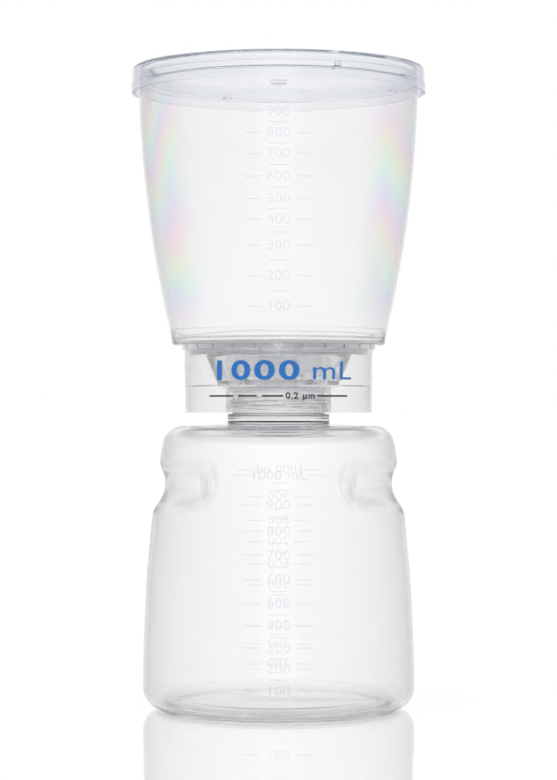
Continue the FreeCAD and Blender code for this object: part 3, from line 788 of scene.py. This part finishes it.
def inkMaterial(name, colour):
    # a flat print with slightly darker patches
    material, shader = newMaterial(name)
    spot = shader.place()[0]
    grain = shader.noise(spot, inkLook["grain"])
    dark = tuple(c * inkLook["dark"] for c in colour)
    swing, least = inkLook["roughness"]
    shader.finish({"Base Color": shader.mixColour(shader.step(grain, *inkLook["patches"]), dark, colour),
                   "Roughness": grain * swing + least, "Alpha": inkLook["cover"]})
    return material


def labelBar(x0, x1, y0, y1):
    low, high = label["off"]
    spots, faces = slab(x0, x1, y0, y1, low, high)
    return wrapped(spots, skirtWall, front), faces


def labelFigures(line):
    low, high = label["off"]
    x, z = line["middle"]
    spots, faces = figures(line["text"], line["height"], high - low, (x, z, (low + high) / 2),
                           line["wide"], line["weight"], line["spread"])
    return wrapped(spots, skirtWall, front), faces


def bigParts():
    return [labelFigures(label["bold"]), labelFigures(label["light"])]


def smallParts():
    foot, top = label["barFoot"], label["barFoot"] + label["barTall"]
    bars = [labelBar(start, end, foot, top) for start, end in label["bars"]]
    return [labelFigures(label["small"])] + bars


inks = (("labelBig", bigParts, inkLook["big"]), ("labelSmall", smallParts, inkLook["small"]))
for name, parts, colour in inks:
    ink = join(name, parts())
    ink.data.shade_flat()
    ink.data.materials.append(inkMaterial(name + "Ink", colour))
    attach(ink, "upper_unit")
print("label made")


def dress(node, material):
    # gives a CAD node that stays as it is its material
    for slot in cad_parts[node].material_slots:
        slot.material = material


# drop: how far the gate's disc lies below the top of the lid's rim
gate = {"radius": 3.7, "drop": 4.12, "thick": 0.12, "footRound": 0.03, "topRound": 0.05, "columns": 48}
finishes = {
    # grain: a fine noise that gives the bump and the roughness; patches: the noise behind the colours,
    # if it is another one; mix: where the second colour fades in; bump: strength and metres;
    # rough: swing and least
    "gateScar": {  # the dull, slightly grey disc where the lid was filled
        "grain": (900, 3.0), "mix": (0.3, 0.7), "colours": ((0.36, 0.37, 0.40), (0.50, 0.51, 0.54)),
        "bump": (0.4, 0.0002), "rough": (0.2, 0.35),
        "more": {"IOR": plasticIor, "Transmission Weight": 0.6}},
    "membraneFilm": {
        "grain": (6000, 3.0), "patches": (60, 2.0), "mix": (0.3, 0.7),
        "colours": ((0.86, 0.86, 0.85), (0.93, 0.93, 0.925)), "bump": (0.25, 0.0001), "rough": (0.1, 0.75)},
    "sealElastomer": {
        "grain": (300, 3.0), "mix": (0.35, 0.65), "colours": ((0.72, 0.73, 0.74), (0.8, 0.81, 0.82)),
        "bump": (0.2, 0.0001), "rough": (0.2, 0.35)},
    "fibreWadding": {
        "grain": (900, 4.0, (1, 0.25, 1)), "mix": (0.3, 0.7),
        "colours": ((0.78, 0.78, 0.77), (0.93, 0.93, 0.92)), "bump": (0.7, 0.0003), "rough": (0.15, 0.8)},
}


def dullMaterial(name):
    # two colours mixed by a noise, with a fine bump
    look = finishes[name]
    material, shader = newMaterial(name)
    spot = shader.place()[0]
    grain = shader.noise(spot, *look["grain"])
    patches = shader.noise(spot, *look["patches"]) if "patches" in look else grain
    swing, least = look["rough"]
    shader.finish({"Base Color": shader.mixColour(shader.step(patches, *look["mix"]), *look["colours"]),
                   "Roughness": grain * swing + least, "Normal": shader.bump(grain, *look["bump"]),
                   **look.get("more", {})})
    return material


gateTop = lidTop - gate["drop"]
gateFoot = gateTop - gate["thick"]
gatePath = cornerPath((0, gateFoot), (gate["radius"], gateFoot, gate["footRound"]),
                      (gate["radius"], gateTop, gate["topRound"]), (0, gateTop))
gateMesh = turned("gateMark", gatePath, gate["columns"], poles=True)
gateMesh.data.materials.append(dullMaterial("gateScar"))
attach(gateMesh, "cover")

dress("lid", clearLid)
dress("membrane", dullMaterial("membraneFilm"))
dress("neck_gasket", dullMaterial("sealElastomer"))
dress("vacuum_plug", dullMaterial("fibreWadding"))
print("materials made")

stage = {
    "floor": 30.0, "drop": 0.0002, "colour": (0.93, 0.93, 0.93), "roughness": 0.015, "mirror": 0.5,
    "glow": 0.06, "seenThrough": 1.4,  # glow seen straight, and its share seen through the plastics
}
tent = {
    # flag: brightness of the low panels at the tent's two sides, which show in gloss alone; they fade in
    # with the sideways part of a direction, and out above a height in degrees
    "flag": 0.77, "flagFrom": 0.14, "flagFull": 0.42, "flagHeight": 12.0, "flagFade": 10.0,
    # ring: brightness of the ring below the tent's ceiling, and where it lies in degrees of height
    "ring": 0.50, "ringLow": 27.0, "ringHigh": 44.0, "ringSoft": 6.0,
}
lamps = {  # place, size and power; both look at the middle of the unit
    "softboxLeft": ((-1.3, -0.9, 1.5), 1.0, 6.0),
    "softboxRight": ((1.5, -0.6, 1.1), 1.0, 3.0),
}
lampAim = 0.14
camera = {"lens": 120.3, "distance": 1.16, "eye": 0.132, "aim": 0.1408, "clip": (0.05, 50)}
bounces = {"clear": 96, "diffuse": 16}  # light crosses many walls of clear plastic


def makeFloor():
    half = stage["floor"]
    corners = [(-half, -half, 0), (half, -half, 0), (half, half, 0), (-half, half, 0)]
    mesh = bpy.data.meshes.new("floor")
    mesh.from_pydata(corners, [], [(0, 1, 2, 3)])
    made = bpy.data.objects.new("floor", mesh)
    bpy.context.scene.collection.objects.link(made)
    made.location.z = -stage["drop"]
    material, shader = newMaterial("whiteAcrylic")
    straight = shader.node("ShaderNodeLightPath", output="Is Camera Ray")
    seen = straight + shader.other(straight, "Is Transmission Ray") * stage["seenThrough"]
    shader.finish({"Base Color": (*stage["colour"], 1), "Roughness": stage["roughness"],
                   "Metallic": stage["mirror"], "Emission Color": (1, 1, 1, 1),
                   "Emission Strength": seen * stage["glow"]})
    mesh.materials.append(material)


def makeTent():
    # a white tent with a dimmer ring and two side flags; straight from the camera it is plain white
    world = bpy.data.worlds.new("lightTent")
    world.use_nodes = True
    bpy.context.scene.world = world
    shader = Shader(world.node_tree)
    way = shader.node("ShaderNodeTexCoord", output="Generated")
    x = shader.node("ShaderNodeSeparateXYZ", inputs={0: way})
    z = shader.other(x, 2)
    rise = z.math("ARCSINE") * (180 / math.pi)
    low, high, soft = tent["ringLow"], tent["ringHigh"], tent["ringSoft"]
    ring = shader.step(rise, low - soft, low + soft) * (1 - shader.step(rise, high - soft, high + soft))
    seen = shader.node("ShaderNodeLightPath", output="Is Camera Ray")
    flags = shader.step(abs(x), tent["flagFrom"], tent["flagFull"])
    flags = flags * shader.other(seen, "Is Glossy Ray")
    flags = flags * (1 - shader.step(abs(rise), tent["flagHeight"], tent["flagHeight"] + tent["flagFade"]))
    level = (1 - ring * (1 - tent["ring"])) * (1 - flags * (1 - tent["flag"]))
    level = level + seen * (1 - level)
    background = shader.node("ShaderNodeBackground", inputs={"Color": (1, 1, 1, 1), "Strength": level})
    shader.node("ShaderNodeOutputWorld", inputs={"Surface": background})


def placed(name, data, spot, target):
    # a lamp or camera at a spot, looking at a target
    made = bpy.data.objects.new(name, data)
    bpy.context.scene.collection.objects.link(made)
    made.location = spot
    made.rotation_mode = "QUATERNION"
    made.rotation_quaternion = (Vector(target) - Vector(spot)).to_track_quat("-Z", "Y")
    return made


def makeLamp(name, spot, size, power):
    lamp = bpy.data.lights.new(name, "AREA")
    lamp.shape, lamp.size, lamp.energy = "SQUARE", size, power
    made = placed(name, lamp, spot, (0, 0, lampAim))
    made.visible_camera = made.visible_glossy = made.visible_transmission = False


def makeCamera():
    data = bpy.data.cameras.new("camera")
    data.lens = camera["lens"]
    data.clip_start, data.clip_end = camera["clip"]
    eye, aim = (0, -camera["distance"], camera["eye"]), (0, 0, camera["aim"])
    bpy.context.scene.camera = placed("camera", data, eye, aim)


makeFloor()
makeTent()
for name, look in lamps.items():
    makeLamp(name, *look)
makeCamera()
scene = bpy.context.scene
scene.view_settings.view_transform = "Standard"
scene.cycles.max_bounces = scene.cycles.transmission_bounces = bounces["clear"]
scene.cycles.glossy_bounces = bounces["clear"]
scene.cycles.diffuse_bounces = bounces["diffuse"]
scene.cycles.blur_glossy = 0
print("stage made")

bpy.context.view_layer.update()
